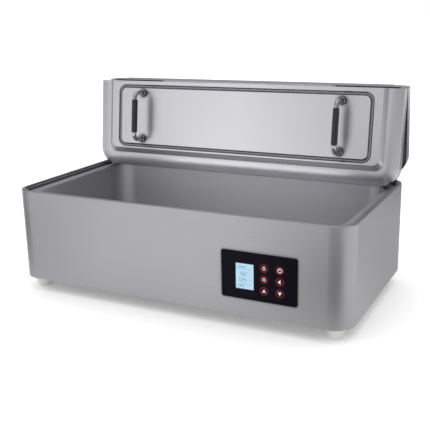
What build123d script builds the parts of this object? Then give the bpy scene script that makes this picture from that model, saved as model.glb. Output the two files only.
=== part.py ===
from build123d import *
import os
from math import sqrt

os.makedirs("parts", exist_ok=True)

# Splint heating pan. Millimetres, +X to the right, +Y to the back, +Z up.
# The origin is the middle of the housing's footprint, on the surface that the feet stand on.

# Housing, a wrap of stainless sheet
housing_width = 610.0
housing_depth = 326.4
housing_height = 160.0
housing_corner = 34.0
housing_sheet = 1.2
rim_bend = 2.0
rim_flange = 6.7
rim_hem = 6.0
bottom_flange = 16.0

# Feet and base plate
foot_height = 21.8
foot_top_radius = 18.4
foot_bottom_radius = 11.3
foot_edge_round = 3.0
foot_inset_x = 28.6
foot_inset_y = 30.5
foot_screw_radius = 2.5
base_sheet = 1.2
base_inset = 2.0
base_screw_radius = 1.8
vent_length = 34.0
vent_width = 3.2
vents_across = 7
vent_rows = 2

# Pan
tub_sheet = 1.2
tub_lip_gap = 1.0
tub_lip_drop = 1.5
ledge_drop = 7.2
mouth_inset = 24.4
mouth_corner = 34.0
mouth_round = 3.6
floor_up = 48.8
tub_draft = 1.5
floor_round = 12.0
blanket_thickness = 10.0
blanket_height = 90.0

# Lid halves
lid_sheet = 1.0
lid_rim_gap = 2.0
lid_wall = 19.0
lid_edge_round = 3.0
border_width = 26.4
border_rise = 5.5
border_apex = 22.0
riser_height = 4.5
riser_run_side = 6.2
riser_run_end = 9.8
riser_corner = 16.0
riser_top_round = 1.5
groove_from_border_side = 24.4
groove_from_border_end = 15.4
groove_from_fold = 10.4
groove_corner = 13.0
groove_width = 6.2
groove_depth = 2.6
groove_lip_round = 1.2
liner_recess = 1.8
fold_gap = 2.0
fold_offset = 5.0
lid_open_angle = 82.7
fold_notch_inset = 14.0
fold_notch_height = 11.0
core_from_fold = 26.0

# Hinges, both of three knuckles
knuckle_radius = 2.5
hinge_pin_radius = 1.3
hinge_clear = 0.3
pin_clear = 0.05
leaf_sheet = 1.2
leaf_width = 21.0
leaf_relief = 3.2
hinge_length = 346.0
middle_knuckle = 96.0
knuckle_gap = 0.3

# Handles
handle_from_side = 104.0
handle_gap_fold = 9.4
handle_gap_end = 10.5
handle_projection = 35.0
handle_bar_radius = 4.0
handle_bend = 11.0
grip_radius = 5.6
grip_gap = 2.45
ferrule_radius = 6.4
ferrule_height = 4.5
handle_screw_radius = 2.0
handle_screw_length = 14.0

# Control panel and its keys
panel_width = 124.4
panel_height = 75.7
panel_from_side = 141.9
panel_up = 66.0
panel_corner = 3.0
panel_proud = 2.6
panel_plug = 2.4
panel_bevel = 1.2
panel_margin = 3.2
panel_recess = 0.4
panel_skirt_wall = 2.0
panel_skirt_length = 6.0
panel_clear = 0.3
screen_width = 30.3
screen_height = 41.5
screen_place = (-22.75, -0.8)
window_sheet = 1.4
key_radius = 7.1
key_clear = 0.2
key_collar = 1.1
key_travel = 0.8
key_columns = (9.5, 35.0)
key_rows = (16.7, -1.3, -19.8)
key_names = ("key_program", "key_timer", "key_up", "key_power", "key_back", "key_down")
board_sheet = 1.6
switch_size = 6.0

# Mains inlet, on the back
inlet_from_side = 90.0
inlet_up = 35.0
inlet_flange_width = 50.0
inlet_flange_height = 26.0
inlet_flange_sheet = 3.0
inlet_body_width = 28.0
inlet_body_height = 20.5
inlet_body_depth = 24.0
inlet_well_width = 24.4
inlet_well_height = 16.8
inlet_well_depth = 16.0
inlet_screw_spacing = 40.0
inlet_screw_radius = 1.7

# Drain, at the back on the left
drain_from_side = 70.0
drain_from_back = 65.2
drain_neck = 1.6
fitting_drop = 8.0
drain_bore = 6.0
pipe_wall = 2.0
pipe_bend = 16.0
valve_radius = 14.0
valve_length = 38.0
spigot_radius = 7.5
spigot_length = 24.0
ball_radius = 10.5
ball_clear = 0.1
stem_radius = 4.0
lever_length = 62.0
lever_width = 12.0
lever_sheet = 2.5

# Heater, under the floor of the pan
element_radius = 3.75
element_run = 400.0
element_tail = 24.0
element_pitch = 48.0
element_rows = 4
element_clear = 0.1
clamp_width = 14.0
clamp_sheet = 2.0

# Heights and places that follow from the sizes above
housing_bottom = foot_height + base_sheet
rim_z = housing_bottom + housing_height
ledge_z = rim_z - ledge_drop
floor_top = housing_bottom + floor_up
floor_bottom = floor_top - tub_sheet
tub_depth = ledge_z - floor_top
half_width = housing_width / 2
half_depth = housing_depth / 2
mouth_width = housing_width - 2 * mouth_inset
mouth_depth = housing_depth - 2 * mouth_inset
panel_x = half_width - panel_from_side
inlet_x = half_width - inlet_from_side
drain_x = drain_from_side - half_width
drain_y = half_depth - drain_from_back
drain_z = floor_bottom - fitting_drop - pipe_bend - drain_neck
drain_up = drain_z - housing_bottom
lip_inset = rim_flange + tub_lip_gap
skirt_z = rim_z + lid_rim_gap
pin_reach = knuckle_radius + hinge_clear
skirt_to_pin = pin_reach - liner_recess
rear_pin = (0, half_depth + pin_reach, skirt_z)
fold_pin = (0, fold_offset, skirt_z - skirt_to_pin)
front_length = half_depth + fold_offset - fold_gap / 2
rear_length = half_depth - fold_offset - fold_gap / 2
plateau_z = lid_wall + border_rise + riser_height
groove_inset_side = border_width + groove_from_border_side
groove_inset_end = border_width + groove_from_border_end
handle_x = half_width - handle_from_side
handle_near = groove_from_fold + groove_width / 2 + handle_gap_fold
handle_far = front_length - groove_inset_end - groove_width / 2 - handle_gap_end
grip_length = handle_far - handle_near - 2 * handle_bend - 2 * grip_gap
foot_above_centre = (border_rise + border_width * (2 * border_apex - border_width) / border_rise) / 2
border_radius = sqrt(foot_above_centre**2 + (border_width - border_apex) ** 2)

# The lid opens by turning its rear half about the rear pin, while the front half folds
# back under it by twice that angle. Both halves are drawn in this open place.
to_rear_pin = Location(rear_pin)
to_fold_pin = Location(fold_pin)
rear_turn = Location((0, 0, 0), (-lid_open_angle, 0, 0))
front_turn = Location((0, 0, 0), (2 * lid_open_angle, 0, 0))
rear_open = to_rear_pin * rear_turn * to_rear_pin.inverse()
front_open = rear_open * to_fold_pin * front_turn * to_fold_pin.inverse()

# Each half's own plane: x along the fold, y away from the fold, z out of its upper face,
# with the origin in the middle of the fold edge, on the lower edge of its side walls.
rear_edge = Plane(origin=(0, fold_offset + fold_gap / 2, skirt_z))
front_edge = Plane(origin=(0, fold_offset - fold_gap / 2, skirt_z), x_dir=(-1, 0, 0), z_dir=(0, 0, 1))
rear_half = Plane(rear_open * rear_edge.location)
front_half = Plane(front_open * front_edge.location)


def save(piece, name):
    piece.part.label = name
    export_step(piece.part, f"parts/{name}.step")


def footprint(inset, mode=Mode.ADD):
    """The housing's outline seen from above, drawn in by inset."""
    RectangleRounded(
        housing_width - 2 * inset, housing_depth - 2 * inset, housing_corner - inset, mode=mode
    )


def front_plane(x, up, proud=0.0):
    """A plane on the front of the housing, facing forwards, up above the housing's lower edge."""
    return Plane(
        origin=(x, -half_depth - proud, housing_bottom + up), x_dir=(1, 0, 0), z_dir=(0, -1, 0)
    )


def back_plane(x, up, proud=0.0):
    """A plane on the back of the housing, facing backwards."""
    return Plane(
        origin=(x, half_depth + proud, housing_bottom + up), x_dir=(-1, 0, 0), z_dir=(0, 1, 0)
    )


# Screw places that the base plate and the housing's lower flange share
base_screw_inset = (base_inset + bottom_flange) / 2
base_screw_places = [
    (x, side * (half_depth - base_screw_inset))
    for x in (-half_width + 2.2 * housing_corner, 0, half_width - 2.2 * housing_corner)
    for side in (-1, 1)
] + [(side * (half_width - base_screw_inset), 0) for side in (-1, 1)]
foot_x = half_width - foot_inset_x
foot_y = half_depth - foot_inset_y

# Housing shell: four walls, a rim flange turned in with a hem turned down, and a lower flange
hem_z = rim_z - rim_hem
with BuildPart() as housing_shell:
    with BuildSketch(Plane.XY.offset(housing_bottom)):
        footprint(0)
    extrude(amount=housing_height)
    fillet(housing_shell.edges().group_by(Axis.Z)[-1], radius=rim_bend)
    with BuildSketch(Plane.XY.offset(housing_bottom + housing_sheet)):
        footprint(housing_sheet)
    extrude(amount=hem_z - housing_bottom - housing_sheet, mode=Mode.SUBTRACT)
    with BuildSketch(Plane.XY.offset(hem_z)):
        footprint(housing_sheet)
        footprint(rim_flange - housing_sheet, mode=Mode.SUBTRACT)
    extrude(amount=rim_hem - housing_sheet, mode=Mode.SUBTRACT)
    with BuildSketch(Plane.XY.offset(hem_z)):
        footprint(rim_flange)
    extrude(amount=rim_hem, mode=Mode.SUBTRACT)
    with BuildSketch(Plane.XY.offset(housing_bottom)):
        footprint(bottom_flange)
    extrude(amount=housing_sheet, mode=Mode.SUBTRACT)
    with BuildSketch(Plane.XY.offset(housing_bottom)):
        with Locations(base_screw_places):
            Circle(base_screw_radius)
    extrude(amount=housing_sheet, mode=Mode.SUBTRACT)
    with BuildSketch(front_plane(panel_x, panel_up)):
        Rectangle(panel_width - 6 * panel_bevel, panel_height - 6 * panel_bevel)
    extrude(amount=-2 * housing_sheet, mode=Mode.SUBTRACT)
    with BuildSketch(back_plane(inlet_x, inlet_up)):
        Rectangle(inlet_body_width + panel_clear, inlet_body_height + panel_clear)
        with GridLocations(inlet_screw_spacing, 0, 2, 1):
            Circle(inlet_screw_radius)
    extrude(amount=-2 * housing_sheet, mode=Mode.SUBTRACT)
    with BuildSketch(back_plane(drain_x, drain_up)):
        Circle(drain_bore + pipe_wall + panel_clear)
    extrude(amount=-2 * housing_sheet, mode=Mode.SUBTRACT)
save(housing_shell, "housing_shell")

# Base plate, screwed up against the lower flange, with two groups of vents
with BuildPart() as base_plate:
    with BuildSketch(Plane.XY.offset(foot_height)):
        footprint(base_inset)
        with Locations(base_screw_places):
            Circle(base_screw_radius, mode=Mode.SUBTRACT)
        with GridLocations(2 * foot_x, 2 * foot_y, 2, 2):
            Circle(foot_screw_radius, mode=Mode.SUBTRACT)
        with Locations((-half_width / 2, 0), (half_width / 2, 0)):
            with GridLocations(4 * vent_width, 1.4 * vent_length, vents_across, vent_rows):
                SlotOverall(vent_length, vent_width, rotation=90, mode=Mode.SUBTRACT)
    extrude(amount=base_sheet)
save(base_plate, "base_plate")

# Pan-head screws that hold the base plate
with BuildPart() as base_screws:
    with Locations(Plane.XY.offset(foot_height)):
        with Locations(base_screw_places):
            Cylinder(
                2 * base_screw_radius, 2.2, align=(Align.CENTER, Align.CENTER, Align.MAX)
            )
            Cylinder(
                base_screw_radius,
                base_sheet + housing_sheet + 4,
                align=(Align.CENTER, Align.CENTER, Align.MIN),
            )
    fillet(base_screws.edges().group_by(Axis.Z)[0], radius=1.0)
save(base_screws, "base_screws")

# Feet: tapered mouldings with a screw well from below
foot_places = {
    "foot_front_left": (-foot_x, -foot_y),
    "foot_front_right": (foot_x, -foot_y),
    "foot_rear_left": (-foot_x, foot_y),
    "foot_rear_right": (foot_x, foot_y),
}
screw_well = 8.0
for foot_name, (x, y) in foot_places.items():
    with BuildPart() as foot:
        with BuildSketch(Plane(origin=(x, y, 0), x_dir=(1, 0, 0), z_dir=(0, -1, 0))):
            with BuildLine():
                Polyline(
                    (foot_screw_radius, foot_height),
                    (foot_top_radius, foot_height),
                    (foot_bottom_radius, 0),
                    (2 * foot_screw_radius, 0),
                    (2 * foot_screw_radius, screw_well),
                    (foot_screw_radius, screw_well),
                    close=True,
                )
            make_face()
        revolve(axis=Axis((x, y, 0), (0, 0, 1)))
        fillet(foot.edges().group_by(Axis.Z)[0].sort_by(SortBy.RADIUS)[-1], foot_edge_round)
        fillet(foot.edges().group_by(Axis.Z)[-1].sort_by(SortBy.RADIUS)[-1], 1.0)
    save(foot, foot_name)

with BuildPart() as foot_screws:
    with Locations(*[(x, y, screw_well) for x, y in foot_places.values()]):
        Cylinder(
            1.9 * foot_screw_radius, 3, align=(Align.CENTER, Align.CENTER, Align.MAX)
        )
        Cylinder(
            foot_screw_radius,
            foot_height - screw_well + base_sheet + 5,
            align=(Align.CENTER, Align.CENTER, Align.MIN),
        )
save(foot_screws, "foot_screws")


def pan_form(grow):
    """The pan's tapered body below the ledge, grown outwards by grow, with its floor edge round."""
    with BuildPart() as form:
        with BuildSketch(Plane.XY.offset(ledge_z)):
            RectangleRounded(mouth_width + 2 * grow, mouth_depth + 2 * grow, mouth_corner + grow)
        extrude(amount=-(tub_depth + grow), taper=tub_draft)
        fillet(form.edges().group_by(Axis.Z)[0], radius=floor_round + grow)
    return form.part


def mouth_edges(edges):
    """The edges that run round the pan's mouth, without those at the ledge's outer side."""
    reach_x = mouth_width / 2 + 2 * tub_sheet
    reach_y = mouth_depth / 2 + 2 * tub_sheet
    return edges.filter_by(lambda e: abs(e.center().X) < reach_x and abs(e.center().Y) < reach_y)


# Pan: drawn body, flat ledge round the mouth, and an upturned lip inside the housing's rim
with BuildPart() as tub:
    with BuildSketch(Plane.XY.offset(ledge_z)):
        footprint(lip_inset)
    extrude(amount=-tub_sheet)
    add(pan_form(tub_sheet))
    under = ledge_z - tub_sheet
    fillet(mouth_edges(tub.edges().filter_by_position(Axis.Z, under, under)), mouth_round - tub_sheet)
    add(pan_form(0), mode=Mode.SUBTRACT)
    fillet(mouth_edges(tub.edges().group_by(Axis.Z)[-1]), mouth_round)
    with BuildSketch(Plane.XY.offset(ledge_z)):
        footprint(lip_inset)
        footprint(lip_inset + tub_sheet, mode=Mode.SUBTRACT)
    extrude(amount=ledge_drop - tub_lip_drop)
    with BuildSketch(Plane.XY.offset(floor_top)):
        with Locations((drain_x, drain_y)):
            Circle(drain_bore + pipe_wall)
    extrude(amount=-tub_sheet, mode=Mode.SUBTRACT)
save(tub, "tub")

# Silicone seal between the housing's hem and the pan's lip
with BuildPart() as rim_seal:
    with BuildSketch(Plane.XY.offset(ledge_z - tub_sheet)):
        footprint(rim_flange)
        footprint(lip_inset, mode=Mode.SUBTRACT)
    extrude(amount=ledge_drop + tub_sheet - rim_hem + 2.5)
save(rim_seal, "rim_seal")

# Angle brackets welded to the housing walls, which carry the pan's ledge
bracket_width = 30.0
bracket_drop = 22.0
bracket_under = 14.0
bracket_sheet = 1.6
bracket_z = ledge_z - tub_sheet
with BuildPart() as tub_brackets:
    for side in (-1, 1):
        for x in (-half_width / 2, half_width / 4):
            with BuildSketch(Plane.YZ.offset(x)):
                with BuildLine():
                    wall = side * (half_depth - housing_sheet)
                    Polyline(
                        (wall, bracket_z),
                        (wall, bracket_z - bracket_drop),
                        (wall - side * bracket_sheet, bracket_z - bracket_drop),
                        (wall - side * bracket_sheet, bracket_z - bracket_sheet),
                        (wall - side * bracket_under, bracket_z - bracket_sheet),
                        (wall - side * bracket_under, bracket_z),
                        close=True,
                    )
                make_face()
            extrude(amount=bracket_width)
        for y in (-half_depth / 2, half_depth / 4):
            with BuildSketch(Plane.XZ.offset(y)):
                with BuildLine():
                    wall = side * (half_width - housing_sheet)
                    Polyline(
                        (wall, bracket_z),
                        (wall, bracket_z - bracket_drop),
                        (wall - side * bracket_sheet, bracket_z - bracket_drop),
                        (wall - side * bracket_sheet, bracket_z - bracket_sheet),
                        (wall - side * bracket_under, bracket_z - bracket_sheet),
                        (wall - side * bracket_under, bracket_z),
                        close=True,
                    )
                make_face()
            extrude(amount=bracket_width)
save(tub_brackets, "tub_brackets")

# Glass-wool blanket round the pan
blanket_inner = tub_sheet + 0.1
with BuildPart() as insulation:
    with BuildSketch(Plane.XY.offset(ledge_z - tub_sheet - mouth_round)):
        RectangleRounded(
            mouth_width + 2 * (blanket_inner + blanket_thickness),
            mouth_depth + 2 * (blanket_inner + blanket_thickness),
            mouth_corner + blanket_inner + blanket_thickness,
        )
        RectangleRounded(
            mouth_width + 2 * blanket_inner,
            mouth_depth + 2 * blanket_inner,
            mouth_corner + blanket_inner,
            mode=Mode.SUBTRACT,
        )
    extrude(amount=-blanket_height)
save(insulation, "insulation")

# Tubular heater: rows joined by half turns, pressed against the underside of the floor
element_z = floor_bottom - element_clear - element_radius
element_ys = [(i - (element_rows - 1) / 2) * element_pitch for i in range(element_rows)]
element_points = [(element_run / 2, element_ys[0], element_z - element_tail)]
for i, y in enumerate(element_ys):
    end = element_run / 2 if i % 2 == 0 else -element_run / 2
    element_points += [(end, y, element_z), (-end, y, element_z)]
element_points.append((element_run / 2, element_ys[-1], element_z - element_tail))
element_turns = [element_pitch / 2 - 0.5] * (2 * element_rows - 2)
element_radii = [element_tail / 2] + element_turns + [element_tail / 2]
with BuildPart() as heating_element:
    with BuildLine() as element_path:
        FilletPolyline(*element_points, radius=element_radii)
    with BuildSketch(Plane(origin=element_path.line @ 0, z_dir=element_path.line % 0)):
        Circle(element_radius)
    sweep()
save(heating_element, "heating_element")

# Clamp bars under the heater, with posts up to the floor between the rows
clamp_top = element_z - element_radius - element_clear
with BuildPart() as heater_clamps:
    with BuildSketch(Plane.XY.offset(clamp_top)):
        with GridLocations(element_run / 3, 0, 3, 1):
            Rectangle(clamp_width, (element_rows - 0.4) * element_pitch)
    extrude(amount=-clamp_sheet)
    with BuildSketch(Plane.XY.offset(clamp_top)):
        with GridLocations(element_run / 3, 2 * element_pitch, 3, 2):
            Circle(clamp_width / 4)
    extrude(amount=floor_bottom - clamp_top)
save(heater_clamps, "heater_clamps")

# Temperature probe and over-temperature cut-out, on the underside of the floor
probe_radius = 3.0
with BuildPart() as temperature_probe:
    with BuildSketch(Plane.XY.offset(floor_bottom)):
        with Locations((30, 0)):
            Rectangle(34, 12)
    extrude(amount=-1.5)
    with BuildSketch(Plane.YZ.offset(12)):
        with Locations((0, floor_bottom - 1.5 - probe_radius + 0.4)):
            Circle(probe_radius)
    extrude(amount=46)
save(temperature_probe, "temperature_probe")

with BuildPart() as thermal_cutout:
    with BuildSketch(Plane.XY.offset(floor_bottom)):
        with Locations((-40, 0)):
            SlotOverall(34, 12)
    extrude(amount=-1.0)
    with BuildSketch(Plane.XY.offset(floor_bottom - 1.0)):
        with Locations((-40, 0)):
            Circle(8)
    extrude(amount=-9)
    with BuildSketch(Plane.XY.offset(floor_bottom - 10)):
        with Locations((-40, 0)):
            with GridLocations(9, 0, 2, 1):
                Rectangle(0.8, 6.3)
    extrude(amount=-8)
save(thermal_cutout, "thermal_cutout")

# Power board on posts over the base plate
board_post = 10.0
board_x = 70.0
board_y = -40.0
board_length = 130.0
board_depth = 84.0
board_headroom = 6.3
board_top_z = housing_bottom + board_post + board_sheet
tall_part = clamp_top - clamp_sheet - board_headroom - board_top_z
with BuildPart() as board_posts:
    with BuildSketch(Plane.XY.offset(housing_bottom)):
        with Locations((board_x, board_y)):
            with GridLocations(board_length - 10, board_depth - 10, 2, 2):
                RegularPolygon(3.6, 6)
    extrude(amount=board_post)
save(board_posts, "board_posts")

with BuildPart() as power_board:
    with BuildSketch(Plane.XY.offset(housing_bottom + board_post)):
        with Locations((board_x, board_y)):
            Rectangle(board_length, board_depth)
    extrude(amount=board_sheet)
    board_top = Plane.XY.offset(board_top_z)
    with BuildSketch(board_top):
        with Locations((board_x - 32, board_y + 12)):
            Rectangle(42, 36)
    extrude(amount=tall_part)
    with BuildSketch(board_top):
        with Locations((board_x + 22, board_y + 20)):
            with GridLocations(24, 0, 2, 1):
                Rectangle(16, 28)
    extrude(amount=0.7 * tall_part)
    with BuildSketch(board_top):
        with Locations((board_x + 24, board_y - 18)):
            with GridLocations(18, 0, 3, 1):
                Circle(6)
    extrude(amount=0.95 * tall_part)
    with BuildSketch(board_top):
        with Locations((board_x - 34, board_y - 28)):
            Rectangle(46, 12)
    extrude(amount=0.55 * tall_part)
save(power_board, "power_board")

# Control panel: a moulded plate over the opening, with a plug and a skirt behind it
key_places = [(x, up) for x in key_columns for up in key_rows]
plug_width = panel_width - 6 * panel_bevel - 2 * panel_clear
plug_height = panel_height - 6 * panel_bevel - 2 * panel_clear
panel_face = front_plane(panel_x, panel_up, panel_proud)
panel_back = front_plane(panel_x, panel_up, -housing_sheet - panel_plug)
with BuildPart() as control_panel:
    with BuildSketch(front_plane(panel_x, panel_up)):
        RectangleRounded(panel_width, panel_height, panel_corner)
    extrude(amount=panel_proud)
    chamfer(control_panel.edges().group_by(Axis.Y)[0], length=panel_bevel)
    with BuildSketch(panel_face):
        RectangleRounded(panel_width - 2 * panel_margin, panel_height - 2 * panel_margin, panel_corner)
    extrude(amount=-panel_recess, mode=Mode.SUBTRACT)
    with BuildSketch(front_plane(panel_x, panel_up)):
        Rectangle(plug_width, plug_height)
    extrude(amount=-housing_sheet - panel_plug)
    with BuildSketch(panel_back):
        Rectangle(plug_width, plug_height)
        Rectangle(
            plug_width - 2 * panel_skirt_wall, plug_height - 2 * panel_skirt_wall, mode=Mode.SUBTRACT
        )
    extrude(amount=-panel_skirt_length)
    with BuildSketch(panel_face):
        with Locations(key_places):
            Circle(key_radius + key_clear)
        with Locations(screen_place):
            Rectangle(screen_width, screen_height)
    extrude(amount=-2 * (panel_proud + panel_plug), mode=Mode.SUBTRACT)
save(control_panel, "control_panel")

# Keys: round caps with a collar behind the panel and a short stem
panel_depth = panel_proud - panel_recess + housing_sheet + panel_plug
key_face_proud = panel_proud - panel_recess
for key_name, (from_middle, above) in zip(key_names, key_places):
    x = panel_x + from_middle
    up = panel_up + above
    with BuildPart() as key:
        with BuildSketch(front_plane(x, up, key_face_proud)):
            Circle(key_radius)
        extrude(amount=-(panel_depth + key_clear))
        fillet(key.edges().group_by(Axis.Y)[0], radius=0.4)
        with BuildSketch(front_plane(x, up, key_face_proud - panel_depth - key_clear)):
            Circle(key_radius + key_collar)
        extrude(amount=-0.8)
    save(key, key_name)

# Control board behind the panel's skirt, with one switch behind each key
board_face = front_plane(panel_x, panel_up, -housing_sheet - panel_plug - panel_skirt_length)
with BuildPart() as control_board:
    with BuildSketch(board_face):
        Rectangle(plug_width, plug_height)
    extrude(amount=-board_sheet)
    with BuildSketch(board_face):
        with Locations((screen_place[0], -screen_height / 2 - 7)):
            Rectangle(22, 3)
    extrude(amount=3)
save(control_board, "control_board")

switch_gap = key_travel + 0.2
switch_reach = panel_skirt_length - key_clear - 0.8 - switch_gap
with BuildPart() as key_switches:
    with BuildSketch(board_face):
        with Locations(key_places):
            Rectangle(switch_size, switch_size)
    extrude(amount=switch_reach - 1.0)
    with BuildSketch(board_face):
        with Locations(key_places):
            Circle(switch_size / 4)
    extrude(amount=switch_reach)
save(key_switches, "key_switches")

# Display: a framed module behind the window, and the clear window in the panel's cut-out
screen_x = panel_x + screen_place[0]
screen_up = panel_up + screen_place[1]
window_face = front_plane(screen_x, screen_up, panel_proud - panel_recess)
module_face = front_plane(screen_x, screen_up, panel_proud - panel_recess - window_sheet)
with BuildPart() as display_window:
    with BuildSketch(window_face):
        Rectangle(screen_width, screen_height)
    extrude(amount=-window_sheet)
save(display_window, "display_window")

with BuildPart() as display_module:
    with BuildSketch(module_face):
        Rectangle(screen_width - 0.4, screen_height - 0.4)
    extrude(amount=-(panel_depth - window_sheet))
    with BuildSketch(panel_back):
        with Locations(screen_place):
            Rectangle(screen_width + 6, screen_height + 6)
    extrude(amount=-panel_skirt_length)
save(display_module, "display_module")

# Mains inlet: flange, well with three pins, and two screws
inlet_face = back_plane(inlet_x, inlet_up, inlet_flange_sheet)
inlet_wall = back_plane(inlet_x, inlet_up)
with BuildPart() as power_inlet:
    with BuildSketch(inlet_wall):
        RectangleRounded(inlet_flange_width, inlet_flange_height, 4)
        with GridLocations(inlet_screw_spacing, 0, 2, 1):
            Circle(inlet_screw_radius, mode=Mode.SUBTRACT)
    extrude(amount=inlet_flange_sheet)
    fillet(power_inlet.edges().group_by(Axis.Y)[-1].sort_by(SortBy.LENGTH)[-4:], radius=0.8)
    with BuildSketch(inlet_wall):
        Rectangle(inlet_body_width, inlet_body_height)
    extrude(amount=-inlet_body_depth)
    with BuildSketch(inlet_face):
        RectangleRounded(inlet_well_width, inlet_well_height, 2.5)
    extrude(amount=-inlet_well_depth, mode=Mode.SUBTRACT)
save(power_inlet, "power_inlet")

pin_base = back_plane(inlet_x, inlet_up, inlet_flange_sheet - inlet_well_depth)
with BuildPart() as inlet_pins:
    with BuildSketch(pin_base):
        with Locations((-7, -2), (0, 2), (7, -2)):
            Rectangle(2, 4)
    extrude(amount=inlet_well_depth - 2)
save(inlet_pins, "inlet_pins")

with BuildPart() as inlet_screws:
    with BuildSketch(inlet_face):
        with GridLocations(inlet_screw_spacing, 0, 2, 1):
            Circle(1.8 * inlet_screw_radius)
    extrude(amount=1.8)
    with BuildSketch(inlet_face):
        with GridLocations(inlet_screw_spacing, 0, 2, 1):
            Circle(inlet_screw_radius)
    extrude(amount=-(inlet_flange_sheet + housing_sheet + 5))
save(inlet_screws, "inlet_screws")

# Drain fitting in the pan's floor, with a flange above it and a nut below it
fitting_radius = drain_bore + pipe_wall
with BuildPart() as drain_fitting:
    with BuildSketch(Plane(origin=(drain_x, drain_y, 0), x_dir=(1, 0, 0), z_dir=(0, -1, 0))):
        with BuildLine():
            Polyline(
                (drain_bore, floor_top + 1.5),
                (2.1 * fitting_radius, floor_top + 0.6),
                (2.1 * fitting_radius, floor_top),
                (fitting_radius, floor_top),
                (fitting_radius, floor_bottom - fitting_drop),
                (drain_bore, floor_bottom - fitting_drop),
                close=True,
            )
        make_face()
    revolve(axis=Axis((drain_x, drain_y, 0), (0, 0, 1)))
    with BuildSketch(Plane.XY.offset(floor_bottom)):
        with Locations((drain_x, drain_y)):
            RegularPolygon(1.6 * fitting_radius, 6)
            Circle(fitting_radius, mode=Mode.SUBTRACT)
    extrude(amount=-6)
save(drain_fitting, "drain_fitting")

# Drain pipe, from the fitting down and out through the back
pipe_top = floor_bottom - fitting_drop
with BuildPart() as drain_pipe:
    with BuildLine() as drain_path:
        FilletPolyline(
            (drain_x, drain_y, pipe_top),
            (drain_x, drain_y, drain_z),
            (drain_x, half_depth, drain_z),
            radius=pipe_bend,
        )
    with BuildSketch(Plane(origin=(drain_x, drain_y, pipe_top), z_dir=(0, 0, -1))):
        Circle(fitting_radius)
        Circle(drain_bore, mode=Mode.SUBTRACT)
    sweep()
save(drain_pipe, "drain_pipe")

# Drain valve: a body with a round chamber for the ball, a wall flange and a hose spigot
valve_start = back_plane(drain_x, drain_up)
valve_middle_y = half_depth + 3 + valve_length / 2
valve_end_y = half_depth + 3 + valve_length
valve_side = Plane(origin=(drain_x, 0, drain_z), x_dir=(0, 1, 0), z_dir=(1, 0, 0))
with BuildPart() as drain_valve:
    with BuildSketch(valve_side):
        with BuildLine():
            Polyline(
                (half_depth, 0),
                (half_depth, 1.4 * valve_radius),
                (half_depth + 3, 1.4 * valve_radius),
                (half_depth + 3, valve_radius - 2),
                (valve_middle_y - 12, valve_radius),
                (valve_middle_y + 12, valve_radius),
                (valve_end_y, valve_radius - 3),
                (valve_end_y, spigot_radius),
                (valve_end_y + spigot_length, spigot_radius),
                (valve_end_y + spigot_length, 0),
                close=True,
            )
        make_face()
    revolve(axis=Axis((drain_x, 0, drain_z), (0, 1, 0)))
    with BuildSketch(Plane(origin=(drain_x, valve_middle_y, drain_z))):
        Circle(stem_radius + 3)
    extrude(amount=valve_radius + 3)
    with BuildSketch(valve_start):
        Circle(drain_bore)
    extrude(amount=3 + valve_length + spigot_length, mode=Mode.SUBTRACT)
    with Locations((drain_x, valve_middle_y, drain_z)):
        Sphere(ball_radius + ball_clear, mode=Mode.SUBTRACT)
    with BuildSketch(Plane(origin=(drain_x, valve_middle_y, drain_z))):
        Circle(stem_radius + pin_clear)
    extrude(amount=2 * valve_radius, mode=Mode.SUBTRACT)
save(drain_valve, "drain_valve")

# Ball and stem, drawn shut: the bore lies across the flow
stem_top = valve_radius + 3 + lever_sheet + 3
with BuildPart() as drain_ball:
    with Locations((drain_x, valve_middle_y, drain_z)):
        Sphere(ball_radius)
        Cylinder(drain_bore, 4 * ball_radius, rotation=(0, 90, 0), mode=Mode.SUBTRACT)
    with BuildSketch(Plane(origin=(drain_x, valve_middle_y, drain_z + ball_radius - 2))):
        Circle(stem_radius)
    extrude(amount=stem_top - ball_radius + 2)
save(drain_ball, "drain_ball")

# Lever on the stem, pointing to the left while the valve is shut
lever_bottom = Plane(origin=(drain_x, valve_middle_y, drain_z + valve_radius + 3 + hinge_clear))
with BuildPart() as drain_lever:
    with BuildSketch(lever_bottom):
        with Locations((-lever_length / 2 + lever_width / 2, 0)):
            SlotOverall(lever_length, lever_width)
        Circle(stem_radius, mode=Mode.SUBTRACT)
    extrude(amount=lever_sheet)
save(drain_lever, "drain_lever")


def hinge_leaf(frame, own_knuckles, bore_radius):
    """One hinge leaf. The frame's x runs along the pin, y along the leaf, z to the mounting face."""
    leaf_top = pin_reach
    leaf_under = pin_reach - leaf_sheet
    with BuildPart() as leaf:
        with BuildSketch(frame * Plane.YZ.offset(-hinge_length / 2)):
            with Locations(((leaf_relief + leaf_width) / 2, (leaf_top + leaf_under) / 2)):
                Rectangle(leaf_width - leaf_relief, leaf_sheet)
        extrude(amount=hinge_length)
        for start, end in own_knuckles:
            with BuildSketch(frame * Plane.YZ.offset(start)):
                Circle(knuckle_radius)
                with Locations((leaf_relief / 2, (leaf_top + leaf_under) / 2)):
                    Rectangle(leaf_relief, leaf_sheet)
                Circle(bore_radius, mode=Mode.SUBTRACT)
            extrude(amount=end - start)
    return leaf


def hinge_pin(frame):
    """The pin along the whole hinge."""
    with BuildPart() as pin:
        with BuildSketch(frame * Plane.YZ.offset(-hinge_length / 2)):
            Circle(hinge_pin_radius)
        extrude(amount=hinge_length)
    return pin


middle = [(-middle_knuckle / 2, middle_knuckle / 2)]
outer = [
    (-hinge_length / 2, -middle_knuckle / 2 - knuckle_gap),
    (middle_knuckle / 2 + knuckle_gap, hinge_length / 2),
]

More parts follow.
